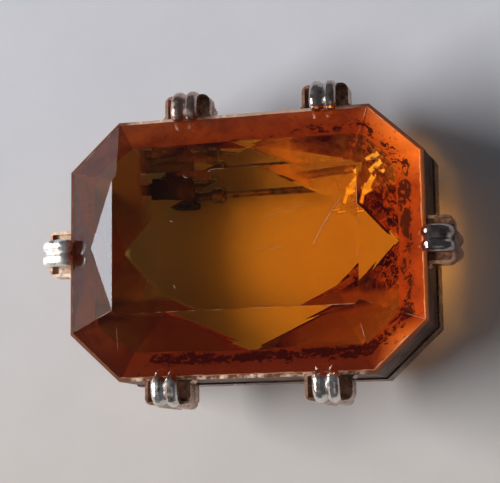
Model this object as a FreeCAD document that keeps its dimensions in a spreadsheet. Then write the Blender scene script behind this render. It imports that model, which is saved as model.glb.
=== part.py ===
import FreeCAD, Part
import math
import os
import Sketcher

# A claw-set brooch, in millimetres. The frame: +Z is the way the stone faces, X is the long
# side, +Y is the top edge as worn. The origin lies under the centre of the stone, level with
# the lowest points of the pin fittings.

SIZES = {
    # the stone: an octagon with scissor-cut sides
    "stone_length": 25.0,
    "stone_width": 18.0,
    "corner_along": 3.5,
    "corner_across": 3.25,
    "table_length": 17.25,
    "table_width": 9.65,
    "table_corner": 0.3,
    "crown_rise": 2.5,
    "scissor_raise": 0.22,
    "girdle_thickness": 0.4,
    "step_inset": 2.3,
    "step_depth": 1.2,
    "pavilion_depth": 4.0,
    "end_share": 0.69,
    "side_share": 0.82,
    "pavilion_rise": 0.05,
    "culet_length": 14.0,
    "culet_width": 6.0,
    "culet_corner": 0.8,
    # the collet that holds it
    "seat_clearance": 0.03,
    "collet_wall": 0.25,
    "collet_height": 4.2,
    "girdle_stand": 0.3,
    "seat_thickness": 0.4,
    # the ring soldered under the collet
    "ring_bead": 0.12,
    "ring_width": 1.1,
    "ring_height": 2.0,
    # the claws
    "claw_reach": 1.95,
    "claw_width": 3.3,
    "claw_wall": 0.22,
    "claw_corner": 0.5,
    "claw_drop": 0.4,
    "block_height": 1.3,
    "hollow_depth": 0.3,
    "root_flare": 0.2,
    "stem_width": 2.1,
    "stem_inset": 0.3,
    "right_claw_reach": 2.15,
    "tab_reach": 2.15,
    "right_tab_reach": 2.25,
    "left_tab_reach": 2.4,
    "tab_width": 1.9,
    "tab_height": 0.4,
    "tab_back": 0.28,
    "tab_corner": 0.42,
    "groove_depth": 0.22,
    "groove_half": 0.32,
    "tab_slope": 0.2,
    "tab_overlap": 0.15,
    "short_overlap": 0.05,
    "tip_radius": 0.32,
    "tip_rise": 0.42,
    "knee_radius": 0.8,
    "claw_clearance": 0.03,
    "top_left_claw": 4.0,
    "top_right_claw": 6.0,
    "bottom_left_claw": 5.6,
    "bottom_right_claw": 5.8,
    "right_claw_drop": 0.4,
    # the straps that carry the pin fittings
    "fitting_height": 3.25,
    "collet_stand": 0.5,
    "strap_thickness": 0.5,
    "strap_width": 1.3,
    "strap_tail": 2.6,
    "strap_tail_width": 0.7,
    "strap_shoulder": 1.6,
    "strap_end": 1.5,
    "strap_corner": 0.4,
    "strap_arm_width": 1.2,
    # the pin and its joint
    "pin_offset": 4.3,
    "joint_distance": 5.5,
    "catch_distance": 8.8,
    "pin_root_radius": 0.33,
    "pin_neck_radius": 0.29,
    "pin_stem_radius": 0.26,
    "stem_reach": 1.9,
    "pin_overhang": 1.8,
    "point_flat": 0.03,
    "pin_collar_start": 2.2,
    "pin_collar_length": 1.0,
    "pin_collar_radius": 0.6,
    "pin_collar_edge": 0.15,
    "eye_radius": 0.8,
    "eye_width": 0.7,
    "eye_play": 0.05,
    "rivet_radius": 0.3,
    "rivet_clearance": 0.03,
    "rivet_head": 0.5,
    "rivet_head_height": 0.2,
    "ear_thickness": 0.3,
    "ear_length": 2.0,
    "ear_corner": 0.75,
    "joint_web": 0.4,
    # the safety catch
    "catch_radius": 1.55,
    "housing_wall": 0.4,
    "housing_length": 1.2,
    "rotor_clearance": 0.04,
    "rotor_bore": 0.5,
    "slot_width": 0.86,
    "flange_lip": 0.18,
    "flange_length": 0.25,
    "collar_length": 0.5,
    "thumb_reach": 0.75,
    "thumb_width": 0.7,
    "thumb_angle": 60.0,
    "axial_play": 0.04,
}

doc = FreeCAD.newDocument("brooch")
sheet = doc.addObject("Spreadsheet::Sheet", "sizes")
for row, (name, number) in enumerate(SIZES.items(), 1):
    sheet.set(f"A{row}", name)
    sheet.set(f"B{row}", str(number))
    sheet.setAlias(f"B{row}", name)
doc.recompute()


class Size:
    """A length worked out from the sheet: its number, and the expression that gives it."""

    def __init__(self, value, text):
        self.value = float(value)
        self.text = text

    @staticmethod
    def of(other):
        return other if isinstance(other, Size) else Size(other, repr(float(other)))

    def __add__(self, other):
        other = Size.of(other)
        return Size(self.value + other.value, f"({self.text} + {other.text})")

    def __sub__(self, other):
        other = Size.of(other)
        return Size(self.value - other.value, f"({self.text} - {other.text})")

    def __mul__(self, other):
        other = Size.of(other)
        return Size(self.value * other.value, f"({self.text} * {other.text})")

    def __truediv__(self, other):
        other = Size.of(other)
        return Size(self.value / other.value, f"({self.text} / {other.text})")

    def __neg__(self):
        return Size(-self.value, f"(-1 * {self.text})")

    def root(self):
        return Size(math.sqrt(self.value), f"sqrt({self.text})")


s = {name: Size(getattr(sheet, name), f"sizes.{name}") for name in SIZES}
ZERO = Size(0, "0")

# heights, from the lowest point of the fittings up
PIN_LEVEL = s["catch_radius"]
STRAP_BOTTOM = s["fitting_height"]
COLLET_BOTTOM = STRAP_BOTTOM + s["collet_stand"]
RING_BOTTOM = COLLET_BOTTOM - s["ring_height"]
GIRDLE_RISE = s["collet_height"] + s["girdle_stand"]
GIRDLE_TOP = COLLET_BOTTOM + GIRDLE_RISE

# outlines, as insets from the girdle
COLLET_OUT = s["seat_clearance"] + s["collet_wall"]
RING_OUT = COLLET_OUT + s["ring_bead"]
RING_INSIDE = s["stone_length"] / 2 - s["ring_width"] + RING_OUT
RING_INSIDE_TOP = s["stone_width"] / 2 - s["ring_width"] + RING_OUT
CORNER_DIAGONAL = (s["corner_along"] * s["corner_along"]
                   + s["corner_across"] * s["corner_across"]).root()
CORNER_LOSS = s["corner_along"] + s["corner_across"] - CORNER_DIAGONAL


def octagon_corners(inset):
    """The eight corners of the girdle outline moved in by inset, counter-clockwise."""
    half_x = s["stone_length"] / 2 - inset
    half_y = s["stone_width"] / 2 - inset
    flat_x = half_x - s["corner_along"] + inset * CORNER_LOSS / s["corner_across"]
    flat_y = half_y - s["corner_across"] + inset * CORNER_LOSS / s["corner_along"]
    return [(half_x, -flat_y), (half_x, flat_y), (flat_x, half_y), (-flat_x, half_y),
            (-half_x, flat_y), (-half_x, -flat_y), (-flat_x, -half_y), (flat_x, -half_y)]


def new_body(name):
    body = doc.addObject("PartDesign::Body", name)
    body.Label = name
    return body


def place(feature, x=ZERO, y=ZERO, z=ZERO):
    for axis, size in (("x", x), ("y", y), ("z", z)):
        feature.setExpression(f"Placement.Base.{axis}", size.text)


def bind(feature, **sizes):
    for name, size in sizes.items():
        feature.setExpression(name, size.text)


def origin_part(body, role):
    return next(part for part in body.Origin.OriginFeatures if part.Role == role)


def new_sketch(body, name, plane="XY_Plane", offset=ZERO):
    sketch = body.newObject("Sketcher::SketchObject", name)
    sketch.AttachmentSupport = [(origin_part(body, plane), "")]
    sketch.MapMode = "FlatFace"
    sketch.setExpression("AttachmentOffset.Base.z", offset.text)
    return sketch


def pin_point(sketch, geometry, end, x, y):
    """Fix one point of a sketch at a place bound to the sheet."""
    for kind, size in (("DistanceX", x), ("DistanceY", y)):
        number = sketch.addConstraint(Sketcher.Constraint(kind, -1, 1, geometry, end, size.value))
        sketch.setExpression(f"Constraints[{number}]", size.text)


def draw_outline(sketch, corners, closed=True):
    """Lines through the corners (x, y) or (x, y, radius); a corner with a radius is rounded."""
    count = len(corners)
    points = [FreeCAD.Vector(corner[0].value, corner[1].value, 0) for corner in corners]
    starts = list(points)
    ends = list(points)
    rounded = {}
    for i, corner in enumerate(corners):
        if len(corner) < 3:
            continue
        before = (points[i - 1] - points[i]).normalize()
        after = (points[(i + 1) % count] - points[i]).normalize()
        half_angle = before.getAngle(after) / 2
        radius = corner[2].value
        reach = radius / math.tan(half_angle)
        starts[i] = points[i] + after * reach
        ends[i] = points[i] + before * reach
        bisector = (before + after).normalize()
        rounded[i] = (points[i] + bisector * (radius / math.sin(half_angle)), radius)
    lines = []
    for i in range(count if closed else count - 1):
        j = (i + 1) % count
        lines.append(sketch.addGeometry(Part.LineSegment(starts[i], ends[j])))
    for i, corner in enumerate(corners):
        if i in rounded:
            round_corner(sketch, corner, lines[i - 1], lines[i], ends[i], starts[i], *rounded[i])
            continue
        if i < len(lines):
            pin_point(sketch, lines[i], 1, corner[0], corner[1])
        else:
            pin_point(sketch, lines[i - 1], 2, corner[0], corner[1])
            continue
        if closed or i > 0:
            sketch.addConstraint(Sketcher.Constraint("Coincident", lines[i - 1], 2, lines[i], 1))
    return lines


def round_corner(sketch, corner, before, after, start, end, centre, radius):
    """Join two lines by a tangent arc whose lines would meet at the given corner."""
    turn = (start - centre).cross(end - centre).z
    first, last = (start, end) if turn > 0 else (end, start)
    angles = [math.atan2(p.y - centre.y, p.x - centre.x) for p in (first, last)]
    circle = Part.Circle(centre, FreeCAD.Vector(0, 0, 1), radius)
    arc = sketch.addGeometry(Part.ArcOfCircle(circle, *angles))
    start_end, last_end = (1, 2) if turn > 0 else (2, 1)
    sketch.addConstraint(Sketcher.Constraint("Tangent", before, 2, arc, start_end))
    sketch.addConstraint(Sketcher.Constraint("Tangent", after, 1, arc, last_end))
    number = sketch.addConstraint(Sketcher.Constraint("Radius", arc, radius))
    sketch.setExpression(f"Constraints[{number}]", corner[2].text)
    vertex = FreeCAD.Vector(corner[0].value, corner[1].value, 0)
    mark = sketch.addGeometry(Part.Point(vertex), True)
    pin_point(sketch, mark, 1, corner[0], corner[1])
    for line in (before, after):
        sketch.addConstraint(Sketcher.Constraint("PointOnObject", mark, 1, line))


def outline_sketch(body, name, corners, plane="XY_Plane", offset=ZERO):
    sketch = new_sketch(body, name, plane, offset)
    draw_outline(sketch, corners)
    return sketch


def octagon_sketch(body, name, inset, offset=ZERO):
    return outline_sketch(body, name, octagon_corners(inset), "XY_Plane", offset)


def circle_sketch(body, name, radius, x=ZERO, y=ZERO, plane="XY_Plane", offset=ZERO):
    sketch = new_sketch(body, name, plane, offset)
    centre = FreeCAD.Vector(x.value, y.value, 0)
    circle = sketch.addGeometry(Part.Circle(centre, FreeCAD.Vector(0, 0, 1), radius.value))
    pin_point(sketch, circle, 3, x, y)
    number = sketch.addConstraint(Sketcher.Constraint("Radius", circle, radius.value))
    sketch.setExpression(f"Constraints[{number}]", radius.text)
    return sketch


def pad(body, name, sketch, length, reverse=False, both=False):
    feature = body.newObject("PartDesign::Pad", name)
    feature.Profile = sketch
    feature.Reversed = reverse
    feature.Midplane = both
    bind(feature, Length=length)
    return feature


def pocket(body, name, sketch, length, reverse=False, both=False):
    feature = body.newObject("PartDesign::Pocket", name)
    feature.Profile = sketch
    feature.Reversed = reverse
    feature.Midplane = both
    bind(feature, Length=length)
    return feature


def rectangle(x0, x1, y0, y1):
    return [(x0, y0), (x1, y0), (x1, y1), (x0, y1)]


# ---------------------------------------------------------------- the stone

def stone_ring(half_x, half_y, corner, level):
    """Eight points whose corner edges run parallel to the girdle's own."""
    across = corner * s["corner_across"].value / s["corner_along"].value
    return [FreeCAD.Vector(x, y, level) for x, y in (
        (half_x, across - half_y), (half_x, half_y - across),
        (half_x - corner, half_y), (corner - half_x, half_y),
        (-half_x, half_y - across), (-half_x, across - half_y),
        (corner - half_x, -half_y), (half_x - corner, -half_y))]


def facet(*points):
    return Part.Face(Part.makePolygon(list(points) + [points[0]]))


def scissor_facets(low_a, low_b, high_b, high_a, share, rise):
    """A side cut crosswise into four triangles, which meet at a point that stands proud.

    The share is how far up the side that point lies."""
    low = (low_a + low_b) / 2
    high = (high_a + high_b) / 2
    middle = low + (high - low) * share + FreeCAD.Vector(0, 0, rise)
    edge = [low_a, low_b, high_b, high_a]
    return [facet(edge[i], edge[(i + 1) % 4], middle) for i in range(4)]


def make_stone():
    half_x = s["stone_length"].value / 2
    half_y = s["stone_width"].value / 2
    girdle = [FreeCAD.Vector(x.value, y.value, 0) for x, y in octagon_corners(ZERO)]
    under = [point - FreeCAD.Vector(0, 0, s["girdle_thickness"].value) for point in girdle]
    table = stone_ring(s["table_length"].value / 2, s["table_width"].value / 2,
                       s["table_corner"].value, s["crown_rise"].value)
    step_level = -s["girdle_thickness"].value - s["step_depth"].value
    step = [FreeCAD.Vector(x.value, y.value, step_level)
            for x, y in octagon_corners(s["step_inset"])]
    culet = stone_ring(s["culet_length"].value / 2, s["culet_width"].value / 2,
                       s["culet_corner"].value,
                       -s["girdle_thickness"].value - s["pavilion_depth"].value)
    faces = [facet(*table), facet(*reversed(culet))]
    for i in range(8):
        j = (i + 1) % 8
        faces.append(facet(under[i], under[j], girdle[j], girdle[i]))
        faces.append(facet(step[i], step[j], under[j], under[i]))
        if i % 2:
            faces.append(facet(girdle[i], girdle[j], table[j], table[i]))
            faces.append(facet(culet[i], culet[j], step[j], step[i]))
        else:
            faces.extend(scissor_facets(girdle[i], girdle[j], table[j], table[i],
                                        0.5, s["scissor_raise"].value))
            share = s["side_share" if i % 4 else "end_share"].value
            drop = share * (step_level - culet[i].z)
            faces.extend(scissor_facets(culet[i], culet[j], step[j], step[i],
                                        share, s["pavilion_rise"].value - drop))
    stone = doc.addObject("Part::Feature", "stone")
    stone.Label = "stone"
    stone.Shape = Part.Solid(Part.Shell(faces))
    place(stone, z=GIRDLE_TOP)
    return stone


# ---------------------------------------------------------------- the setting

def make_collet():
    """An octagonal wall with a bevelled seat inside it, at the slope of the stone's step."""
    body = new_body("collet")
    inside = -s["seat_clearance"]
    girdle_bottom = GIRDLE_RISE - s["girdle_thickness"]
    step_bottom = girdle_bottom - s["step_depth"]
    seat_bottom = step_bottom - s["seat_thickness"]
    opening = s["step_inset"] - s["seat_clearance"]
    wall = octagon_sketch(body, "wall_outline", -COLLET_OUT)
    pad(body, "wall", wall, s["collet_height"])
    skirt = octagon_sketch(body, "skirt_outline", inside)
    pocket(body, "skirt", skirt, seat_bottom, reverse=True)
    mouth = octagon_sketch(body, "mouth_outline", opening)
    pocket(body, "mouth", mouth, step_bottom, reverse=True)
    low = octagon_sketch(body, "bevel_foot", opening, step_bottom)
    high = octagon_sketch(body, "bevel_top", inside, girdle_bottom)
    bevel = body.newObject("PartDesign::SubtractiveLoft", "bevel")
    bevel.Profile = low
    bevel.Sections = [high]
    bevel.Ruled = True
    rim = octagon_sketch(body, "rim_outline", inside, girdle_bottom)
    pocket(body, "rim", rim, s["collet_height"], reverse=True)
    place(body, z=COLLET_BOTTOM)
    return body


def make_back_ring():
    body = new_body("back_ring")
    outer = octagon_sketch(body, "outer_outline", -RING_OUT)
    pad(body, "plate", outer, s["ring_height"])
    inner = octagon_sketch(body, "inner_outline", s["ring_width"] - RING_OUT)
    pocket(body, "opening", inner, s["ring_height"], reverse=True)
    place(body, z=RING_BOTTOM)
    return body


def tab_path(body, side_length, table_length, reach, overlap):
    """Straight up the outside, over the girdle, then down to the crown facet."""
    column = reach - s["tab_height"]
    slope = (s["crown_rise"] / 2 + s["scissor_raise"]) / ((side_length - table_length) / 4)
    tip = s["tab_height"] - overlap
    tip_end = GIRDLE_RISE + overlap * slope + s["claw_clearance"]
    tip_top = tip_end + s["tip_rise"]
    knee = tip_top - (column - tip) * s["tab_slope"]
    sketch = new_sketch(body, "tab_path", "XZ_Plane")
    draw_outline(sketch, [(column, ZERO), (column, knee, s["knee_radius"]),
                          (tip, tip_top, s["tip_radius"]), (tip, tip_end)], closed=False)
    return sketch


def tab_profile(body, top):
    """A flat back and two rounded ridges with a groove between them."""
    back = top - s["tab_height"] - s["tab_back"]
    half = s["tab_width"] / 2
    crest = s["groove_half"]
    return outline_sketch(body, "tab_profile", [
        (back, -half), (top, -half, s["tab_corner"]), (top, -crest),
        (top - s["groove_depth"], ZERO), (top, crest),
        (top, half, s["tab_corner"]), (back, half)])


def make_claw(name, sides, reaches, overlap, angle, x=ZERO, y=ZERO):
    """A claw: a hollow block on a stem, and a grooved tab that folds over the girdle.

    Its own frame has X pointing out from the girdle line and Z up from the collet's foot.
    The sides are the stone's and its table's lengths that way, the reaches the block's and
    the tab's."""
    body = new_body(name)
    face, tab_face = reaches
    half = s["claw_width"] / 2
    wall = s["claw_wall"]
    corner = s["claw_corner"]
    height = GIRDLE_RISE - s["claw_drop"]
    flare = COLLET_OUT + s["root_flare"]
    stem_half = s["stem_width"] / 2
    stem = outline_sketch(body, "stem_outline", rectangle(
        COLLET_OUT, face - s["stem_inset"], -stem_half, stem_half))
    pad(body, "stem", stem, height)
    outer = outline_sketch(body, "block_outline", [
        (COLLET_OUT, -half - s["root_flare"]), (flare, -half),
        (face, -half, corner), (face, half, corner),
        (flare, half), (COLLET_OUT, half + s["root_flare"])],
        offset=height - s["block_height"])
    pad(body, "block", outer, s["block_height"])
    inner = outline_sketch(body, "hollow_outline", rectangle(
        COLLET_OUT, face - wall, wall - half, half - wall), offset=height - s["hollow_depth"])
    pocket(body, "hollow", inner, s["hollow_depth"], reverse=True)
    tab = body.newObject("PartDesign::AdditivePipe", "tab")
    tab.Profile = tab_profile(body, tab_face)
    tab.Spine = tab_path(body, *sides, tab_face, overlap)
    body.Tip = tab
    place(body, x, y, COLLET_BOTTOM)
    body.Placement.Rotation = FreeCAD.Rotation(FreeCAD.Vector(0, 0, 1), angle)
    return body


def make_claws():
    half_x = s["stone_length"] / 2
    half_y = s["stone_width"] / 2
    long_way = (s["stone_length"], s["table_length"])
    short_way = (s["stone_width"], s["table_width"])
    block = s["claw_reach"]
    tab = s["tab_reach"]
    short = s["short_overlap"]
    return [
        make_claw("claw_right", long_way, (s["right_claw_reach"], s["right_tab_reach"]),
                  short, 0, half_x, -s["right_claw_drop"]),
        make_claw("claw_left", long_way, (block, s["left_tab_reach"]), short, 180, -half_x),
        make_claw("claw_top_left", short_way, (block, tab), s["tab_overlap"],
                  90, -s["top_left_claw"], half_y),
        make_claw("claw_top_right", short_way, (block, tab), s["tab_overlap"],
                  90, s["top_right_claw"], half_y),
        make_claw("claw_bottom_left", short_way, (block, tab), short,
                  -90, -s["bottom_left_claw"], -half_y),
        make_claw("claw_bottom_right", short_way, (block, tab), short,
                  -90, s["bottom_right_claw"], -half_y),
    ]


# ---------------------------------------------------------------- the pin and its fittings

def make_joint_plate():
    """A bar under the joint, on an arm that is soldered to the ring's inner edge at the top."""
    body = new_body("joint_plate")
    thin = s["strap_tail_width"] / 2
    half = s["strap_width"] / 2
    arm = s["strap_arm_width"] / 2
    wide = -s["strap_shoulder"]
    end = s["strap_end"]
    corner = s["strap_corner"]
    top = RING_INSIDE_TOP - s["pin_offset"]
    outline = outline_sketch(body, "outline", [
        (-s["strap_tail"], -thin), (wide, -thin), (wide, -half),
        (end, -half, corner), (end, half, corner), (arm, half), (arm, top), (-arm, top),
        (-arm, half), (wide, half), (wide, thin), (-s["strap_tail"], thin)])
    pad(body, "bar", outline, s["strap_thickness"])
    place(body, -s["joint_distance"], s["pin_offset"], STRAP_BOTTOM)
    return body


def make_catch_plate():
    body = new_body("catch_plate")
    half = s["strap_width"] / 2
    end = s["catch_distance"] - s["housing_length"] / 2 - RING_INSIDE
    outline = outline_sketch(body, "outline", rectangle(end, ZERO, -half, half))
    pad(body, "strap", outline, s["strap_thickness"])
    place(body, RING_INSIDE, s["pin_offset"], STRAP_BOTTOM)
    return body


def make_joint_bracket():
    """Two ears on a short web, bored for the rivet. The frame is on the rivet's axis."""
    body = new_body("joint_bracket")
    half = s["ear_length"] / 2
    top = STRAP_BOTTOM - PIN_LEVEL
    width = s["eye_width"] + (s["eye_play"] + s["ear_thickness"]) * 2
    side = outline_sketch(body, "ear_outline", [
        (-half, top), (-half, -PIN_LEVEL, s["ear_corner"]),
        (half, -PIN_LEVEL, s["ear_corner"]), (half, top)], "XZ_Plane")
    pad(body, "ears", side, width, both=True)
    gap_half = s["eye_width"] / 2 + s["eye_play"]
    gap = outline_sketch(body, "gap_outline", rectangle(
        -gap_half, gap_half, -PIN_LEVEL, top - s["joint_web"]), "YZ_Plane")
    pocket(body, "gap", gap, s["ear_length"], both=True)
    bore = circle_sketch(body, "bore_outline", s["rivet_radius"], plane="XZ_Plane")
    pocket(body, "bore", bore, width, both=True)
    place(body, -s["joint_distance"], s["pin_offset"], PIN_LEVEL)
    return body


def turn(body, corners, axis):
    """Turn a half section round one of the body's own axes."""
    outline = outline_sketch(body, "half_section", corners)
    feature = body.newObject("PartDesign::Revolution", "turned")
    feature.Profile = outline
    feature.ReferenceAxis = (origin_part(body, axis), [""])
    return feature


def make_joint_rivet():
    body = new_body("joint_rivet")
    half = s["eye_width"] / 2 + s["eye_play"] + s["ear_thickness"]
    shaft = s["rivet_radius"]
    head = s["rivet_head"]
    rim = head - s["rivet_head_height"] / 2
    end = half + s["rivet_head_height"]
    turn(body, [
        (ZERO, -end), (rim, -end), (head, -half), (shaft, -half),
        (shaft, half), (head, half), (rim, end), (ZERO, end)], "Y_Axis")
    place(body, -s["joint_distance"], s["pin_offset"], PIN_LEVEL)
    return body


def make_pin_stem():
    """An eye on the rivet, a short root, and a stem that runs through the catch to its point."""
    body = new_body("pin_stem")
    catch = s["joint_distance"] + s["catch_distance"]
    length = catch + s["pin_overhang"]
    start = s["rivet_radius"] + s["rivet_clearance"] * 3
    root_end = s["pin_collar_start"] + s["pin_collar_length"]
    stem_end = catch - s["stem_reach"]
    turn(body, [
        (start, ZERO), (length, ZERO), (length, s["point_flat"]),
        (stem_end, s["pin_stem_radius"]), (root_end, s["pin_stem_radius"]),
        (root_end, s["pin_neck_radius"]), (start, s["pin_root_radius"])], "X_Axis")
    disc = circle_sketch(body, "eye_outline", s["eye_radius"], plane="XZ_Plane")
    pad(body, "eye", disc, s["eye_width"], both=True)
    hole = circle_sketch(body, "eye_bore", s["rivet_radius"] + s["rivet_clearance"],
                         plane="XZ_Plane")
    pocket(body, "bore", hole, s["eye_width"], both=True)
    place(body, -s["joint_distance"], s["pin_offset"], PIN_LEVEL)
    return body


def make_pin_collar():
    """A ring soldered round the pin's root, where the stem begins."""
    body = new_body("pin_collar")
    outside = s["pin_collar_radius"]
    edge = s["pin_collar_edge"]
    first = s["pin_collar_start"]
    last = first + s["pin_collar_length"]
    root = s["rivet_radius"] + s["rivet_clearance"] * 3
    swell = s["pin_root_radius"] - s["pin_neck_radius"]
    inside = s["pin_neck_radius"] + swell * s["pin_collar_length"] / (last - root)
    turn(body, [
        (first, inside), (last, s["pin_neck_radius"]), (last, outside - edge),
        (last - edge, outside), (first + edge, outside), (first, outside - edge)], "X_Axis")
    place(body, -s["joint_distance"], s["pin_offset"], PIN_LEVEL)
    return body


def cut_slot(body, half_length):
    """The pin drops out of the catch through a slot that faces away from the stone."""
    half = s["slot_width"] / 2
    slot = outline_sketch(body, "slot_outline", rectangle(
        -half, half, -s["catch_radius"] * 2, ZERO), "YZ_Plane")
    return pocket(body, "slot", slot, half_length * 2, both=True)


def make_catch_housing():
    body = new_body("catch_housing")
    disc = circle_sketch(body, "housing_outline", s["catch_radius"], plane="YZ_Plane")
    pad(body, "drum", disc, s["housing_length"], both=True)
    half = s["strap_width"] / 2
    foot = outline_sketch(body, "foot_outline", rectangle(
        -half, half, ZERO, STRAP_BOTTOM - PIN_LEVEL), "YZ_Plane")
    pad(body, "foot", foot, s["housing_length"], both=True)
    bore = circle_sketch(body, "bore_outline", s["catch_radius"] - s["housing_wall"],
                         plane="YZ_Plane")
    pocket(body, "bore", bore, s["housing_length"], both=True)
    cut_slot(body, s["housing_length"])
    place(body, s["catch_distance"], s["pin_offset"], PIN_LEVEL)
    return body


def make_catch_rotor():
    """The split tube that rolls round the pin: a thumb tab at one end, a lip at the other."""
    body = new_body("catch_rotor")
    half = s["housing_length"] / 2 + s["axial_play"]
    barrel = s["catch_radius"] - s["housing_wall"] - s["rotor_clearance"]
    tube = circle_sketch(body, "tube_outline", barrel, plane="YZ_Plane")
    pad(body, "tube", tube, half * 2, both=True)
    lip = circle_sketch(body, "lip_outline", barrel + s["flange_lip"], plane="YZ_Plane",
                        offset=half)
    pad(body, "lip", lip, s["flange_length"])
    collar = circle_sketch(body, "collar_outline", barrel + s["flange_lip"], plane="YZ_Plane",
                           offset=-half)
    pad(body, "collar", collar, s["collar_length"], reverse=True)
    wide = s["thumb_width"] / 2
    far = barrel + s["thumb_reach"]
    tab = outline_sketch(body, "thumb_outline", [
        (-far, -wide, wide * 0.8), (ZERO, -wide), (ZERO, wide), (-far, wide, wide * 0.8)],
        "YZ_Plane", -half)
    tab.setExpression("AttachmentOffset.Rotation.Angle", (-s["thumb_angle"]).text)
    pad(body, "thumb", tab, s["collar_length"], reverse=True)
    bore = circle_sketch(body, "bore_outline", s["rotor_bore"], plane="YZ_Plane")
    whole = (half + s["flange_length"] + s["collar_length"]) * 2
    pocket(body, "bore", bore, whole, both=True)
    cut_slot(body, whole)
    place(body, s["catch_distance"], s["pin_offset"], PIN_LEVEL)
    return body


def make_fittings():
    return [
        make_joint_plate(),
        make_catch_plate(),
        make_joint_bracket(),
        make_joint_rivet(),
        make_pin_stem(),
        make_pin_collar(),
        make_catch_housing(),
        make_catch_rotor(),
    ]


def check(parts):
    """Stop before anything is written if a feature failed or a shape is unsound."""
    for item in doc.Objects:
        if "Invalid" in item.State or "Error" in item.State:
            raise RuntimeError(f"{item.Name} ({item.Label}) failed: {item.State}")
    for part in parts:
        shape = part.Shape
        if shape.isNull() or not shape.isValid() or len(shape.Solids) != 1:
            raise RuntimeError(f"{part.Label} is not one sound solid")


parts = [make_stone(), make_collet(), make_back_ring()] + make_claws() + make_fittings()
doc.recompute()
check(parts)
os.makedirs("parts", exist_ok=True)
for part in parts:
    part.Shape.exportStep(f"parts/{part.Label}.step")
    box = part.Shape.BoundBox
    print(f"{part.Label:18s} volume {part.Shape.Volume:8.3f}  z {box.ZMin:6.2f} to {box.ZMax:6.2f}")
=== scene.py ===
import math

import bmesh
import bpy
from mathutils import Matrix, Vector, noise


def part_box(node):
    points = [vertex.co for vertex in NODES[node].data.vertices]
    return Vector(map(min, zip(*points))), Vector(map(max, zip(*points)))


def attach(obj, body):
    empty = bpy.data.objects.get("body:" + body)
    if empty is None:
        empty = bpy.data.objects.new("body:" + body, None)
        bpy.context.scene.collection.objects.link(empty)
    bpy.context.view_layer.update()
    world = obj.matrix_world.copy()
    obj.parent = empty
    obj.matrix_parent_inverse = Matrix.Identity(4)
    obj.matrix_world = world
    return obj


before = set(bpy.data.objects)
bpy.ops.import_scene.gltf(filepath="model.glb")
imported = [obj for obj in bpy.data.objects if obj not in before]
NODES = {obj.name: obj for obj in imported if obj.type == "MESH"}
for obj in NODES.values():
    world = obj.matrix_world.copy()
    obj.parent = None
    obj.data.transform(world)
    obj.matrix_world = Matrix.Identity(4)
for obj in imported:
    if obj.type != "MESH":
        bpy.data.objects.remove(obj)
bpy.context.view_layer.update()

MM = 0.001
STONE = [Vector(corner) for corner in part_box("stone")]
COLLET = [Vector(corner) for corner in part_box("collet")]
GIRDLE_STAND = 0.3              # how far the girdle stands out of the collet, in mm
GIRDLE_TOP = COLLET[1].z + GIRDLE_STAND * MM
TABLE_TOP = STONE[1].z
STEP_TOP, STEP_FOOT = 0.4, 1.6  # the stone's step, in mm below the girdle's top
CULET_DEPTH = (GIRDLE_TOP - STONE[0].z) / MM
HARD = 0.001                    # the width of a mask's hard edge, in mm


# ---------------------------------------------------------------- shader helpers

def new_material(name):
    material = bpy.data.materials.new(name)
    material.use_nodes = True
    tree = material.node_tree
    tree.nodes.clear()
    return material, tree


def add_node(tree, kind, values=None, **settings):
    node = tree.nodes.new(kind)
    for key, value in settings.items():
        setattr(node, key, value)
    for key, value in (values or {}).items():
        node.inputs[key].default_value = value
    return node


def object_place(tree):
    return add_node(tree, "ShaderNodeTexCoord").outputs["Object"]


def axes(tree, place):
    """The three coordinates of a place, each as a socket."""
    parts = add_node(tree, "ShaderNodeSeparateXYZ")
    tree.links.new(place, parts.inputs["Vector"])
    return [parts.outputs[axis] for axis in "XYZ"]


def math_node(tree, operation, first, second):
    """One sum; each side is a number or another node's socket."""
    node = add_node(tree, "ShaderNodeMath", operation=operation)
    for i, side in enumerate((first, second)):
        if isinstance(side, (int, float)):
            node.inputs[i].default_value = side
        else:
            tree.links.new(side, node.inputs[i])
    return node.outputs["Value"]


def product(tree, *sides):
    total = sides[0]
    for side in sides[1:]:
        total = math_node(tree, "MULTIPLY", total, side)
    return total


def largest(tree, *sides):
    total = sides[0]
    for side in sides[1:]:
        total = math_node(tree, "MAXIMUM", total, side)
    return total


def ramp_between(tree, value, low, high):
    """0 where the value is at the low level, 1 where it is at the high one."""
    ramp = add_node(tree, "ShaderNodeMapRange", {"From Min": low, "From Max": high})
    tree.links.new(value, ramp.inputs["Value"])
    return ramp.outputs["Result"]


def band(tree, value, start, end):
    """0 where a length is at the start and 1 where it is at the end, both in mm."""
    return ramp_between(tree, value, start * MM, end * MM)


def noise_mask(tree, place, scale, low, high, detail=4.0, distortion=0.0):
    """A noise field that runs from 0 to 1 between the two given levels."""
    field = add_node(tree, "ShaderNodeTexNoise", {
        "Scale": scale, "Detail": detail, "Roughness": 0.6, "Distortion": distortion})
    tree.links.new(place, field.inputs["Vector"])
    return ramp_between(tree, field.outputs["Fac"], low, high)


def fine_dents(tree, place, scale):
    """The heights of a dented surface, for a bump."""
    return noise_mask(tree, place, scale, 0.3, 0.7)


def scale_mask(tree, mask, low, high):
    """The mask, made to run between two other levels."""
    spread = add_node(tree, "ShaderNodeMapRange", {"To Min": low, "To Max": high})
    tree.links.new(mask, spread.inputs["Value"])
    return spread.outputs["Result"]


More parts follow.
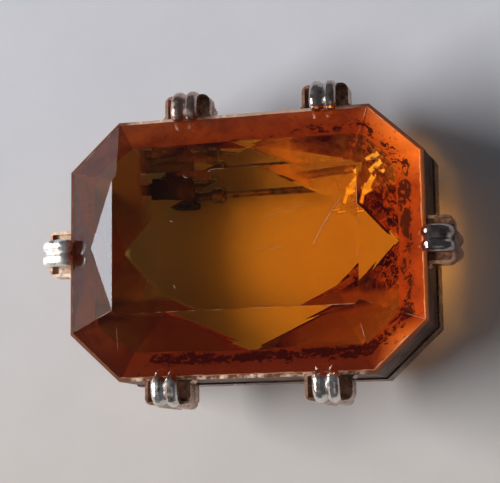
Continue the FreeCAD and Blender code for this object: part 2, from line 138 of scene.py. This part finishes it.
def blend_colours(tree, mask, first, second):
    """Mix two colours, each a tuple or another node's socket, by a mask."""
    mix = add_node(tree, "ShaderNodeMix", data_type="RGBA")
    tree.links.new(mask, mix.inputs["Factor"])
    for slot, colour in (("A", first), ("B", second)):
        socket = next(s for s in mix.inputs if s.name == slot and s.type == "RGBA")
        if isinstance(colour, tuple):
            socket.default_value = (*colour, 1)
        else:
            tree.links.new(colour, socket)
    return next(s for s in mix.outputs if s.type == "RGBA")


def mix_shaders(tree, mask, first, second):
    """The first surface where the mask is 0, and the second where it is 1."""
    mix = add_node(tree, "ShaderNodeMixShader")
    tree.links.new(mask, mix.inputs["Fac"])
    tree.links.new(first, mix.inputs[1])
    tree.links.new(second, mix.inputs[2])
    return mix.outputs["Shader"]


def add_bump(tree, height, shader, strength, distance):
    """Raise the surface by a mask; the distance is in metres."""
    bump = add_node(tree, "ShaderNodeBump", {"Strength": strength, "Distance": distance})
    tree.links.new(height, bump.inputs["Height"])
    tree.links.new(bump.outputs["Normal"], shader.inputs["Normal"])


def finish_surface(tree, socket):
    output = add_node(tree, "ShaderNodeOutputMaterial")
    tree.links.new(socket, output.inputs["Surface"])
    return output


# ---------------------------------------------------------------- the stone's material

# Colours of what lies behind the stone. Each pair is as it was made, and worn. The first two
# pairs are one gilding, lighter at the right as painted light and darker at the left as painted
# shade.
GILT_PAINTED_LIGHT = ((0.33, 0.060, 0.014), (0.22, 0.034, 0.009))
GILT_PAINTED_SHADE = ((0.25, 0.060, 0.026), (0.14, 0.028, 0.015))
# painted shade: the gilding is darker towards the bottom
GILT_PAINTED_SHADE_LOW = (0.15, 0.022, 0.009)
# painted light: bright orange gilding in the right-hand corners
GILT_PAINTED_LIGHT_CORNER = (0.95, 0.32, 0.09)
SPECKS = (0.10, 0.020, 0.010)
DIRT = (0.045, 0.002, 0.002)
DUST = (0.42, 0.13, 0.045)
HAZE = (0.85, 0.58, 0.40)
SMEAR = (0.15, 0.09, 0.05)
# painted shade: a brown film on the far left back facets, darker towards the top, stands in for
# the shaded paper seen through the stone
FILM_PAINTED_SHADE = ((0.62, 0.40, 0.11), (0.48, 0.31, 0.085))
FILM_PAINTED_SHADE_UPPER = (0.17, 0.085, 0.03)
LOWER_FILM_SHADE_AND_LIGHT = ((0.13, 0.040, 0.014), (0.27, 0.135, 0.045))       # a film on the lower back facets: painted shade at the left, lighter as painted light at the right

LACE_LEVELS = (0.665, 0.695)    # where the noise turns into dirt
LACE_CREEP = 0.30               # how much a dirty zone adds to the noise
PATCH_SOFT_EDGE = 0.06               # half the soft edge of a patch, in mm
PAINTED_GLINT_PATCHES = [                      # (centre, half sizes, turn) of the painted glints, in mm
    ((8.45, 4.95), (0.70, 0.20), 28),
    ((8.85, 4.55), (0.40, 0.14), 8),
    ((7.85, 4.05), (0.62, 0.22), 46),
    ((7.45, 3.55), (0.30, 0.30), 20),
    ((7.10, 3.10), (0.50, 0.15), 64),
    ((6.95, 2.15), (0.62, 0.10), 3),
    ((6.35, 2.30), (0.34, 0.10), 12),
]
SMEAR_PATCH = ((-4.9, 6.0), (2.3, 0.65), -10)


def patch_mask(tree, x, y, centre, half, turn):
    """1 inside a turned box on the plan of the brooch, in mm, with a narrow soft edge."""
    c, s = math.cos(math.radians(turn)), math.sin(math.radians(turn))
    dx = math_node(tree, "SUBTRACT", x, centre[0] * MM)
    dy = math_node(tree, "SUBTRACT", y, centre[1] * MM)
    along = math_node(tree, "ADD", math_node(tree, "MULTIPLY", dx, c),
                      math_node(tree, "MULTIPLY", dy, s))
    across = math_node(tree, "SUBTRACT", math_node(tree, "MULTIPLY", dy, c),
                       math_node(tree, "MULTIPLY", dx, s))
    sides = []
    for value, reach in ((along, half[0]), (across, half[1])):
        size = math_node(tree, "ABSOLUTE", value, 0.0)
        sides.append(band(tree, size, reach + PATCH_SOFT_EDGE, reach - PATCH_SOFT_EDGE))
    return product(tree, *sides)


def seat_masks(tree, place, x, y, depth, bottom):
    """The stone's step on its seat: its lighter and darker parts, which are painted light and
    painted shade, and the lace of dirt along the lip, which is thickest at the right and the
    bottom."""
    seat = product(tree, band(tree, depth, STEP_TOP, STEP_TOP + HARD),
                   band(tree, depth, STEP_FOOT, STEP_FOOT - HARD))
    top = product(tree, band(tree, y, 5.0, 7.0), band(tree, x, 1.0, 5.0), 0.6)
    lip = product(tree, band(tree, depth, 0.80, 1.15), band(tree, depth, 1.62, 1.45),
                  largest(tree, band(tree, x, 8.0, 11.0), product(tree, bottom, 0.88), top))
    maze = add_node(tree, "ShaderNodeTexNoise", {
        "Scale": 1700.0, "Detail": 6.0, "Roughness": 0.66, "Distortion": 1.2})
    tree.links.new(place, maze.inputs["Vector"])
    patchy = noise_mask(tree, place, 420.0, 0.24, 0.52, detail=2.0)
    lace = math_node(tree, "ADD", maze.outputs["Fac"], product(tree, lip, patchy, LACE_CREEP))
    # painted light in the top right and bottom right corners
    top_right = product(tree, band(tree, x, 8.2, 11.0), band(tree, y, 3.5, 6.5), 0.8)
    bottom_right = product(tree, band(tree, x, 9.0, 10.8), band(tree, y, -5.4, -6.6), 0.6)
    return {
        "seat": seat,
        # painted light: the gilding is lighter towards the right
        "painted_light_right": band(tree, x, -6.0, 11.0),
        # painted shade towards the bottom
        "low": product(tree, band(tree, y, -5.5, -7.5), 0.9),
        "corner": largest(tree, top_right, bottom_right),
        "dirt": product(tree, seat, ramp_between(tree, lace, *LACE_LEVELS)),
    }


def facet_masks(tree, place, x, y, depth, bottom):
    """The back facets below the step: the dust, haze and smear, the films of painted shade, and
    bright patches that are painted glints.
    """
    bare_culet = band(tree, depth, CULET_DEPTH - 0.10, CULET_DEPTH - 0.16)
    facets = product(tree, band(tree, depth, STEP_FOOT, STEP_FOOT + HARD), bare_culet)
    dusty = largest(tree, band(tree, x, 6.6, 8.4), product(tree, bottom, 0.45))
    grains = noise_mask(tree, place, 2300.0, 0.44, 0.60, detail=5.0, distortion=0.8)
    streaks = noise_mask(tree, place, 700.0, 0.36, 0.62, detail=5.0)
    glint_breakup = noise_mask(tree, place, 1300.0, 0.38, 0.44, detail=6.0, distortion=0.6)
    # painted reflection: patches that stand in for glints of the brass catch
    glint_patches = largest(tree, *[patch_mask(tree, x, y, *glint) for glint in PAINTED_GLINT_PATCHES])
    lower_film_reach = largest(tree, product(tree, band(tree, x, -0.5, -2.5), 0.9),
                     product(tree, band(tree, x, 1.5, 3.5), 0.75))
    return {
        "dust": product(tree, facets, dusty, grains, 0.85),
        "smear": product(tree, patch_mask(tree, x, y, *SMEAR_PATCH), streaks, facets, 0.8),
        "painted_glints": product(tree, glint_patches, glint_breakup, band(tree, depth, STEP_FOOT, STEP_FOOT + 0.01)),
        # painted shade: the film on the far left back facets
        "painted_shade_film": product(tree, facets, band(tree, x, -7.0, -7.9), 0.96),
        # painted shade: a film on the lower back facets
        "below": product(tree, facets, band(tree, y, -3.1, -3.7), lower_film_reach),
        "haze": product(tree, facets, band(tree, y, 3.1, 3.9), band(tree, x, -2.0, 3.0),
                        noise_mask(tree, place, 260.0, 0.30, 0.60), 0.7),
        "steep": product(tree, facets, band(tree, x, 6.0, 7.6), 0.85),
        "upper": band(tree, y, 0.5, 3.5),
    }


def back_masks(tree, place):
    """What the stone's underside shows, as masks by name."""
    x, y, z = axes(tree, place)
    depth = math_node(tree, "SUBTRACT", GIRDLE_TOP, z)
    bottom = product(tree, band(tree, y, -5.0, -7.0), band(tree, x, -8.5, -6.0))
    return {**seat_masks(tree, place, x, y, depth, bottom),
            **facet_masks(tree, place, x, y, depth, bottom)}


def lining_colour(tree, place, masks, worn):
    """Worn gilding, lighter towards the right and in the right corners as painted light, darker
    towards the bottom as painted shade, under the dirt, the dust and the films of painted shade.
    """
    gilt_painted_shade = blend_colours(tree, worn, *GILT_PAINTED_SHADE)
    gilt_painted_light = blend_colours(tree, worn, *GILT_PAINTED_LIGHT)
    specks = noise_mask(tree, place, 2600.0, 0.58, 0.66)
    shade_film = blend_colours(tree, worn, *FILM_PAINTED_SHADE)
    # painted shade: the film turns darker towards the top
    shade_film = blend_colours(tree, scale_mask(tree, masks["upper"], 0.0, 0.85), shade_film, FILM_PAINTED_SHADE_UPPER)
    # the lower film: painted shade at the left, painted light at the right
    lower_film = blend_colours(tree, masks["painted_light_right"], *LOWER_FILM_SHADE_AND_LIGHT)
    # painted light and painted shade: the gilding is lit towards the right and dim towards the
    # left
    colour = blend_colours(tree, masks["painted_light_right"], gilt_painted_shade, gilt_painted_light)
    for mask, cover in (
            (masks["low"], GILT_PAINTED_SHADE_LOW), (masks["corner"], GILT_PAINTED_LIGHT_CORNER),
            (scale_mask(tree, specks, 0.0, 0.5), SPECKS), (masks["dirt"], DIRT),
            (masks["dust"], DUST), (masks["haze"], HAZE), (masks["smear"], SMEAR),
            (masks["painted_shade_film"], shade_film), (masks["below"], lower_film)):
        colour = blend_colours(tree, mask, colour, cover)
    return colour


def amber_glass():
    """Clear amber glass, coloured by depth and faintly scuffed, on a gilded, dirty seat."""
    material, tree = new_material("amber_glass")
    place = object_place(tree)
    masks = back_masks(tree, place)
    glass = add_node(tree, "ShaderNodeBsdfPrincipled", {
        "Base Color": (1.0, 0.95, 0.84, 1), "IOR": 1.53, "Transmission Weight": 1.0})
    scuffs = noise_mask(tree, place, 900.0, 0.62, 0.80, detail=3.0)
    tree.links.new(scale_mask(tree, scuffs, 0.0, 0.03), glass.inputs["Roughness"])
    lining = add_node(tree, "ShaderNodeBsdfPrincipled", {
        "Metallic": 0.15, "Roughness": 0.45, "Specular IOR Level": 0.1})
    worn = noise_mask(tree, place, 500.0, 0.38, 0.64, detail=6.0)
    tree.links.new(lining_colour(tree, place, masks, worn), lining.inputs["Base Color"])
    add_bump(tree, worn, lining, 0.4, 0.04 * MM)
    # painted reflection: bright metal patches on the back facets stand in for glints of the brass
    # catch
    glint = add_node(tree, "ShaderNodeBsdfPrincipled", {
        "Base Color": (1.0, 1.0, 1.0, 1), "Metallic": 0.3, "Roughness": 0.3})
    add_bump(tree, fine_dents(tree, place, 1600.0), glint, 0.8, 0.08 * MM)
    covering = mix_shaders(tree, masks["painted_glints"], lining.outputs["BSDF"], glint.outputs["BSDF"])
    covered = largest(tree, *[masks[name] for name in (
        "seat", "dust", "smear", "painted_shade_film", "below", "haze", "painted_glints")])
    stone = mix_shaders(tree, covered, glass.outputs["BSDF"], covering)
    # Light reaches what lies behind bare glass. Covered and steep facets keep it back.
    path = add_node(tree, "ShaderNodeLightPath")
    bare = math_node(tree, "SUBTRACT", 1.0, largest(tree, covered, masks["steep"]))
    through = add_node(tree, "ShaderNodeBsdfTransparent", {"Color": (0.84, 0.77, 0.78, 1)})
    output = finish_surface(tree, mix_shaders(
        tree, product(tree, path.outputs["Is Shadow Ray"], bare), stone, through.outputs["BSDF"]))
    depth = add_node(tree, "ShaderNodeVolumeAbsorption", {
        "Color": (0.945, 0.765, 0.21, 1), "Density": 400.0})
    tree.links.new(depth.outputs["Volume"], output.inputs["Volume"])
    return material


# ---------------------------------------------------------------- metals and paper

RUBBED_GRAIN = 1400.0                # the noise scale of rubbed plate
BLACKENED = (0.05, 0.04, 0.04)
TAB_FOOT, TAB_START = 0.38, 0.15     # where a claw turns from copper to plate, in mm
                                     # below the girdle's top


def worn_metal(name, bright, bare, dark, bare_level, roughness):
    """Plating worn through to the metal under it, with tarnish in random patches."""
    material, tree = new_material(name)
    place = object_place(tree)
    shader = add_node(tree, "ShaderNodeBsdfPrincipled", {"Metallic": 1.0})
    worn = noise_mask(tree, place, 700.0, bare_level - 0.06, bare_level + 0.06, detail=6.0)
    colour = blend_colours(tree, worn, bright, bare)
    tarnish = noise_mask(tree, place, 1500.0, 0.56, 0.66, detail=5.0, distortion=0.4)
    colour = blend_colours(tree, scale_mask(tree, tarnish, 0.0, 0.75), colour, dark)
    tree.links.new(colour, shader.inputs["Base Color"])
    rubbed = noise_mask(tree, place, RUBBED_GRAIN, 0.3, 0.7, detail=3.0)
    tree.links.new(scale_mask(tree, rubbed, roughness * 0.6, roughness * 1.5),
                   shader.inputs["Roughness"])
    add_bump(tree, fine_dents(tree, place, RUBBED_GRAIN * 1.6), shader, 0.35, 0.02 * MM)
    finish_surface(tree, shader.outputs["BSDF"])
    return material


def claw_metal(name, plate, plate_worn, copper, copper_dark, gloss):
    """Plate on the folded tabs, and copper where it is worn off the blocks below them."""
    material, tree = new_material(name)
    place = object_place(tree)
    shader = add_node(tree, "ShaderNodeBsdfPrincipled")
    height = axes(tree, place)[2]
    high = ramp_between(tree, height, GIRDLE_TOP - TAB_FOOT * MM, GIRDLE_TOP - TAB_START * MM)
    wear = noise_mask(tree, place, 900.0, 0.46, 0.58, detail=6.0)
    base = blend_colours(tree, wear, copper, copper_dark)
    top = blend_colours(tree, noise_mask(tree, place, 1200.0, 0.50, 0.62, detail=5.0),
                        plate, plate_worn)
    colour = blend_colours(tree, high, base, top)
    tarnish = noise_mask(tree, place, 2200.0, 0.58, 0.68, detail=4.0, distortion=0.5)
    colour = blend_colours(tree, scale_mask(tree, tarnish, 0.0, 0.7), colour, BLACKENED)
    tree.links.new(colour, shader.inputs["Base Color"])
    tree.links.new(scale_mask(tree, high, 0.55, 0.95), shader.inputs["Metallic"])
    rubbed = noise_mask(tree, place, 1800.0, 0.3, 0.7, detail=3.0)
    tree.links.new(scale_mask(tree, rubbed, gloss * 0.6, gloss * 1.6), shader.inputs["Roughness"])
    add_bump(tree, fine_dents(tree, place, 1500.0), shader, 0.6, 0.03 * MM)
    finish_surface(tree, shader.outputs["BSDF"])
    return material


def paper():
    """Matt white paper, a little cooler towards the top of the picture, as painted window light.
    """
    material, tree = new_material("paper")
    place = object_place(tree)
    shader = add_node(tree, "ShaderNodeBsdfPrincipled", {
        "Roughness": 0.9, "Specular IOR Level": 0.2})
    # painted light: bluish window light towards the top, warmer towards the bottom
    window_light_ramp = band(tree, axes(tree, place)[1], -16.0, 14.0)
    mottle = noise_mask(tree, place, 90.0, 0.35, 0.65)
    warm_tone = blend_colours(tree, mottle, (0.640, 0.615, 0.600), (0.675, 0.650, 0.635))
    window_light_tone = blend_colours(tree, mottle, (0.640, 0.655, 0.715), (0.675, 0.690, 0.750))
    tree.links.new(blend_colours(tree, window_light_ramp, warm_tone, window_light_tone), shader.inputs["Base Color"])
    add_bump(tree, fine_dents(tree, place, 2500.0), shader, 0.15, 0.02 * MM)
    finish_surface(tree, shader.outputs["BSDF"])
    return material


def dress(node, material):
    """Give a CAD node one material."""
    mesh = NODES[node].data
    mesh.materials.clear()
    mesh.materials.append(material)


def inside_mask(tree):
    """1 on the faces that look towards the middle of the brooch, 0 on the rest."""
    geometry = add_node(tree, "ShaderNodeNewGeometry")
    flat = add_node(tree, "ShaderNodeVectorMath", operation="MULTIPLY")
    flat.inputs[1].default_value = (1, 1, 0)
    tree.links.new(geometry.outputs["Position"], flat.inputs[0])
    facing = add_node(tree, "ShaderNodeVectorMath", operation="DOT_PRODUCT")
    tree.links.new(flat.outputs["Vector"], facing.inputs[0])
    tree.links.new(geometry.outputs["True Normal"], facing.inputs[1])
    inward = add_node(tree, "ShaderNodeMath", operation="LESS_THAN")
    inward.inputs[1].default_value = -0.0005
    tree.links.new(facing.outputs["Value"], inward.inputs[0])
    return inward.outputs["Value"]


RIM_DEPTHS = (0.08, 0.04)            # where the painted highlight on the collet's edge starts and is full, in mm


def collet_metal():
    """Brown outside, a painted highlight along the edge of the long sides, speckled at the
    bottom, and duller gilding inside, where the stone lies.
    """
    material, tree = new_material("collet_metal")
    place = object_place(tree)
    x, y, z = axes(tree, place)
    shader = add_node(tree, "ShaderNodeBsdfPrincipled", {"Specular IOR Level": 0.15})
    worn = noise_mask(tree, place, 600.0, 0.44, 0.58, detail=6.0)
    outside = blend_colours(tree, worn, (0.16, 0.075, 0.045), (0.055, 0.026, 0.018))
    # painted highlight: a pale edge along the long sides, speckled at the bottom
    rim = ramp_between(tree, z, *[COLLET[1].z - depth * MM for depth in RIM_DEPTHS])
    long_sides = product(tree, band(tree, x, 8.6, 7.6), band(tree, x, -8.6, -7.6))
    highlight_sparkle = largest(tree, noise_mask(tree, place, 1500.0, 0.44, 0.62, detail=6.0),
                       product(tree, band(tree, y, 0.0, 1.0), 0.6))
    painted_edge_highlight = blend_colours(tree, product(tree, long_sides, highlight_sparkle),
                         (0.20, 0.075, 0.045), (0.95, 0.72, 0.54))
    outside = blend_colours(tree, rim, outside, painted_edge_highlight)
    inside = blend_colours(tree, worn, (0.88, 0.55, 0.34), (0.62, 0.33, 0.18))
    inward = inside_mask(tree)
    tree.links.new(blend_colours(tree, inward, outside, inside), shader.inputs["Base Color"])
    tree.links.new(scale_mask(tree, inward, 0.45, 0.6), shader.inputs["Roughness"])
    tree.links.new(scale_mask(tree, inward, 0.65, 0.35), shader.inputs["Metallic"])
    add_bump(tree, fine_dents(tree, place, 1500.0), shader, 0.5, 0.03 * MM)
    finish_surface(tree, shader.outputs["BSDF"])
    return material


dress("stone", amber_glass())
dress("collet", collet_metal())
ring_metal = worn_metal("ring_metal", (0.30, 0.20, 0.15), (0.19, 0.10, 0.06),
                        (0.05, 0.03, 0.02), 0.50, 0.32)
joint_metal = worn_metal("joint_metal", (0.030, 0.020, 0.014), (0.05, 0.028, 0.016),
                         (0.012, 0.008, 0.006), 0.56, 0.42)
brass = worn_metal("catch_brass", (0.92, 0.70, 0.26), (0.74, 0.48, 0.14),
                   (0.10, 0.06, 0.03), 0.56, 0.16)
steel = worn_metal("pin_steel", (0.30, 0.22, 0.17), (0.24, 0.16, 0.12),
                   (0.13, 0.09, 0.07), 0.55, 0.35)
dress("back_ring", ring_metal)

# Colours of the claws. Each pair is as it is, and worn. The left claw's pale plate and cream
# copper are painted light, and the right claw's dark plate is painted shade.
COPPER = ((0.62, 0.36, 0.24), (0.26, 0.13, 0.08))
COPPER_PAINTED_LIGHT = ((0.92, 0.72, 0.56), (0.70, 0.42, 0.28))
SILVER = ((0.80, 0.77, 0.74), (0.60, 0.44, 0.35))
PLATE_PAINTED_LIGHT = ((0.98, 0.97, 0.95), (0.92, 0.86, 0.80))
GREY_BROWN_PLATE = ((0.50, 0.45, 0.42), (0.36, 0.25, 0.20))
PLATE_PAINTED_SHADE = ((0.36, 0.32, 0.31), (0.26, 0.17, 0.14))
ROSY = ((0.55, 0.40, 0.34), (0.38, 0.20, 0.16))
for claw, plate, body, gloss in (
        # painted light on the left claw, painted shade on the right claw
        ("claw_left", PLATE_PAINTED_LIGHT, COPPER_PAINTED_LIGHT, 0.42), ("claw_right", PLATE_PAINTED_SHADE, COPPER, 0.16),
        ("claw_top_left", ROSY, COPPER, 0.26), ("claw_top_right", GREY_BROWN_PLATE, COPPER, 0.18),
        ("claw_bottom_left", SILVER, COPPER, 0.26), ("claw_bottom_right", SILVER, COPPER, 0.20)):
    dress(claw, claw_metal(claw + "_metal", *plate, *body, gloss))
for fitting in ("joint_plate", "joint_bracket", "joint_rivet"):
    dress(fitting, joint_metal)
for fitting in ("catch_plate", "catch_housing", "catch_rotor"):
    dress(fitting, brass)
for fitting in ("pin_stem", "pin_collar"):
    dress(fitting, steel)


# ---------------------------------------------------------------- wear on the stone

EDGE_STEP, EDGE_LIFT = 0.14, 0.012   # a worn edge's points are this far apart and off the
                                     # glass, in mm
SCRATCH_STEP, SCRATCH_LIFT = 0.15, 0.006
UP = Vector((0, 0, 1))


def new_piece(name, bm, material, body="setting"):
    """An object made of the mesh, which rides on a body of the CAD."""
    bmesh.ops.recalc_face_normals(bm, faces=bm.faces)
    mesh = bpy.data.meshes.new(name)
    bm.to_mesh(mesh)
    bm.free()
    piece = bpy.data.objects.new(name, mesh)
    bpy.context.collection.objects.link(piece)
    mesh.materials.append(material)
    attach(piece, body)
    return piece


def stone_corners(level):
    """The stone's corners at one level, counter-clockwise from the right."""
    found = {}
    for vertex in NODES["stone"].data.vertices:
        if abs(vertex.co.z - level) < 0.005 * MM:
            found[(round(vertex.co.x, 6), round(vertex.co.y, 6))] = vertex.co.copy()
    return sorted(found.values(), key=lambda p: math.atan2(p.y, p.x) % (2 * math.pi))


def add_thread(bm, path, up, width):
    """A thin three-sided ridge along a path, drawn out at both ends."""
    rings = []
    last = len(path) - 1
    for i, point in enumerate(path):
        along = path[min(i + 1, last)] - path[max(i - 1, 0)]
        side = along.cross(up).normalized()
        half = width * (0.2 + 0.8 * min(i, last - i, 2) / 2) / 2
        rings.append([bm.verts.new(place) for place in (
            point - side * half, point + side * half, point + up * half)])
    for first, second in zip(rings, rings[1:]):
        for k in range(3):
            j = (k + 1) % 3
            bm.faces.new((first[k], first[j], second[j], second[k]))
    bm.faces.new(rings[0][::-1])
    bm.faces.new(rings[-1])


def add_worn_edge(bm, start, end, up, width, seed, cover):
    """Threads along the chipped stretches of an edge. A higher cover makes them longer."""
    steps = max(4, int((end - start).length / (EDGE_STEP * MM)))
    run = []
    for i in range(steps + 1):
        point = start.lerp(end, i / steps) + up * EDGE_LIFT * MM
        chipped = noise.fractal(Vector((seed * 7.3, i * 0.17, 0.4)), 0.7, 2.0, 3)
        if chipped < cover:
            run.append(point)
        if (chipped >= cover or i == steps) and run:
            if len(run) > 2:
                add_thread(bm, run, up, width)
            run = []


def add_chip(bm, centre, up, size, seed):
    """A small flat speck with a ragged outline."""
    side = up.orthogonal().normalized()
    other = up.cross(side)
    count = 9
    rim = []
    for i in range(count):
        turn = 2 * math.pi * i / count
        reach = size * (0.6 + 0.5 * noise.noise(Vector((seed * 3.1, i * 1.7, 0.2))))
        rim.append(bm.verts.new(centre + side * math.cos(turn) * reach
                                + other * math.sin(turn) * reach * 0.7))
    peak = bm.verts.new(centre + up * size * 0.25)
    for i in range(count):
        bm.faces.new((rim[i], rim[(i + 1) % count], peak))
    bm.faces.new(rim[::-1])


def pale_chips():
    """The dull pale surface of chipped and scratched glass."""
    material, tree = new_material("pale_chips")
    place = object_place(tree)
    shader = add_node(tree, "ShaderNodeBsdfPrincipled", {"Roughness": 0.45})
    spread = noise_mask(tree, place, 1500.0, 0.40, 0.62)
    tree.links.new(blend_colours(tree, spread, (0.42, 0.21, 0.10), (0.66, 0.50, 0.38)),
                   shader.inputs["Base Color"])
    add_bump(tree, fine_dents(tree, place, 6000.0), shader, 0.6, 0.01 * MM)
    finish_surface(tree, shader.outputs["BSDF"])
    return material


def edge_wear(material):
    """Chipped bits of the crown's edges, the girdle and the table's rim."""
    girdle = stone_corners(GIRDLE_TOP)
    table = stone_corners(TABLE_TOP)
    bm = bmesh.new()
    for i in range(8):
        j = (i + 1) % 8
        out = Vector((girdle[i].x, girdle[i].y, 0)).normalized()
        lean = (UP + out * 0.6).normalized()
        add_worn_edge(bm, girdle[i], table[i], lean, 0.035 * MM, i, 0.02)
        add_worn_edge(bm, girdle[i], girdle[j], lean, 0.05 * MM, i + 20, 0.06)
        add_worn_edge(bm, table[i], table[j], UP, 0.03 * MM, i + 40, -0.02)
    return new_piece("edge_wear", bm, material)


SCRATCHES = [                   # (start, end, bow, width) on the table, in mm
    ((7.56, 2.29), (5.55, -0.86), 0.10, 0.045),
    ((1.73, -0.85), (3.60, -0.75), 0.05, 0.030),
    ((2.0, 1.1), (5.2, 2.0), -0.12, 0.018),
    ((-3.43, 4.60), (-3.05, 4.38), 0.12, 0.035),
    ((-4.36, 1.46), (-4.10, 1.34), 0.05, 0.040),
    ((-4.16, -3.02), (-3.98, -3.22), 0.04, 0.045),
]
CHIPS = [                       # (x, y, size) on the table, in mm
    (-4.36, 1.41, 0.05), (-3.34, -2.16, 0.05), (-3.38, -1.9, 0.03), (-4.1, -3.1, 0.06),
    (-1.57, 4.70, 0.07), (-1.25, 4.62, 0.05), (0.1, 3.55, 0.04), (4.3, -4.45, 0.06),
    (3.9, -4.55, 0.04), (-6.3, 2.9, 0.03), (6.1, 4.1, 0.03), (-0.9, -2.3, 0.03),
]


def scratches(material):
    """Hairline scratches and small pits in the table."""
    level = TABLE_TOP + SCRATCH_LIFT * MM
    bm = bmesh.new()
    for (x0, y0), (x1, y1), bow, width in SCRATCHES:
        start = Vector((x0 * MM, y0 * MM, level))
        end = Vector((x1 * MM, y1 * MM, level))
        side = (end - start).cross(UP).normalized()
        steps = max(6, int((end - start).length / (SCRATCH_STEP * MM)))
        add_thread(bm, [start.lerp(end, i / steps)
                        + side * bow * MM * math.sin(math.pi * i / steps)
                        for i in range(steps + 1)], UP, width * MM)
    for seed, (x, y, size) in enumerate(CHIPS):
        add_chip(bm, Vector((x * MM, y * MM, level)), UP, size * MM, seed)
    return new_piece("scratches", bm, material)


chip_glass = pale_chips()
edge_wear(chip_glass)
scratches(chip_glass)


# ---------------------------------------------------------------- floor, lights and camera

# The camera, fitted to the corners of the stone.
VIEW_AZIMUTH, VIEW_ELEVATION, VIEW_ROLL = 58.59, 72.55, -0.83    # in degrees
VIEW_DISTANCE = 101.5                                            # in mm
VIEW_TARGET = (0.585, 0.091)                                     # in mm, at the girdle's top
FOCAL_PIXELS, IMAGE_WIDTH = 1469.7, 500.0
SENSOR_WIDTH = 36.0
FLOOR_REACH = 0.6


def add_floor():
    """A sheet of paper under the brooch."""
    mesh = bpy.data.meshes.new("floor")
    corners = [(x * FLOOR_REACH, y * FLOOR_REACH, 0)
               for x, y in ((-1, -1), (1, -1), (1, 1), (-1, 1))]
    mesh.from_pydata(corners, [], [(0, 1, 2, 3)])
    floor = bpy.data.objects.new("floor", mesh)
    bpy.context.collection.objects.link(floor)
    mesh.materials.append(paper())


def direction(azimuth, elevation):
    """A unit vector: azimuth in degrees from +X towards +Y, elevation above the floor."""
    a = math.radians(azimuth)
    e = math.radians(elevation)
    return Vector((math.cos(a) * math.cos(e), math.sin(a) * math.cos(e), math.sin(e)))


def add_panel(name, azimuth, elevation, distance, width, height, watts, colour):
    """A soft lamp that faces the brooch; the lengths are in metres."""
    lamp = bpy.data.lights.new(name, "AREA")
    lamp.shape = "RECTANGLE"
    lamp.size = width
    lamp.size_y = height
    lamp.energy = watts
    lamp.color = colour
    panel = bpy.data.objects.new(name, lamp)
    way = direction(azimuth, elevation)
    panel.location = way * distance
    panel.rotation_euler = way.to_track_quat("Z", "Y").to_euler()
    bpy.context.collection.objects.link(panel)


def add_world():
    """A dim, even, slightly blue room."""
    world = bpy.data.worlds.new("room")
    bpy.context.scene.world = world
    world.use_nodes = True
    tree = world.node_tree
    tree.nodes.clear()
    room = add_node(tree, "ShaderNodeBackground", {"Color": (0.80, 0.84, 0.92, 1),
                                                   "Strength": 0.075})
    output = add_node(tree, "ShaderNodeOutputWorld")
    tree.links.new(room.outputs["Background"], output.inputs["Surface"])


def add_camera():
    """The camera stands at the lower right of the brooch, close by, nearly overhead."""
    azimuth = math.radians(VIEW_AZIMUTH)
    elevation = math.radians(VIEW_ELEVATION)
    roll = math.radians(VIEW_ROLL)
    distance = VIEW_DISTANCE * MM
    target = Vector((VIEW_TARGET[0] * MM, VIEW_TARGET[1] * MM, GIRDLE_TOP))
    back = Vector((math.sin(azimuth) * math.cos(elevation),
                   -math.cos(azimuth) * math.cos(elevation), math.sin(elevation)))
    right = Vector((0, 1, 0)).cross(back).normalized()
    up = back.cross(right)
    turned_right = right * math.cos(roll) + up * math.sin(roll)
    turned_up = up * math.cos(roll) - right * math.sin(roll)
    data = bpy.data.cameras.new("camera")
    data.sensor_width = SENSOR_WIDTH
    data.lens = SENSOR_WIDTH * FOCAL_PIXELS / IMAGE_WIDTH
    data.clip_start = 1.0 * MM
    camera = bpy.data.objects.new("camera", data)
    turn = Matrix((turned_right, turned_up, back)).transposed()
    camera.matrix_world = Matrix.Translation(target + back * distance) @ turn.to_4x4()
    bpy.context.collection.objects.link(camera)
    bpy.context.scene.camera = camera


add_floor()
add_world()
# name, azimuth, elevation, distance, width, height, watts, colour
add_panel("key", 184, 37, 0.80, 0.64, 0.16, 8.1, (1.0, 0.97, 0.94))
add_panel("low_window", 171, 14, 0.80, 0.28, 0.12, 0.86, (0.86, 0.92, 1.0))
add_panel("sill", 185, 4.5, 0.80, 0.72, 0.10, 0.28, (1.0, 0.74, 0.66))
add_panel("fill", -60, 50, 0.50, 0.30, 0.30, 0.08, (0.92, 0.95, 1.0))
add_camera()

bpy.context.scene.view_settings.view_transform = "Standard"
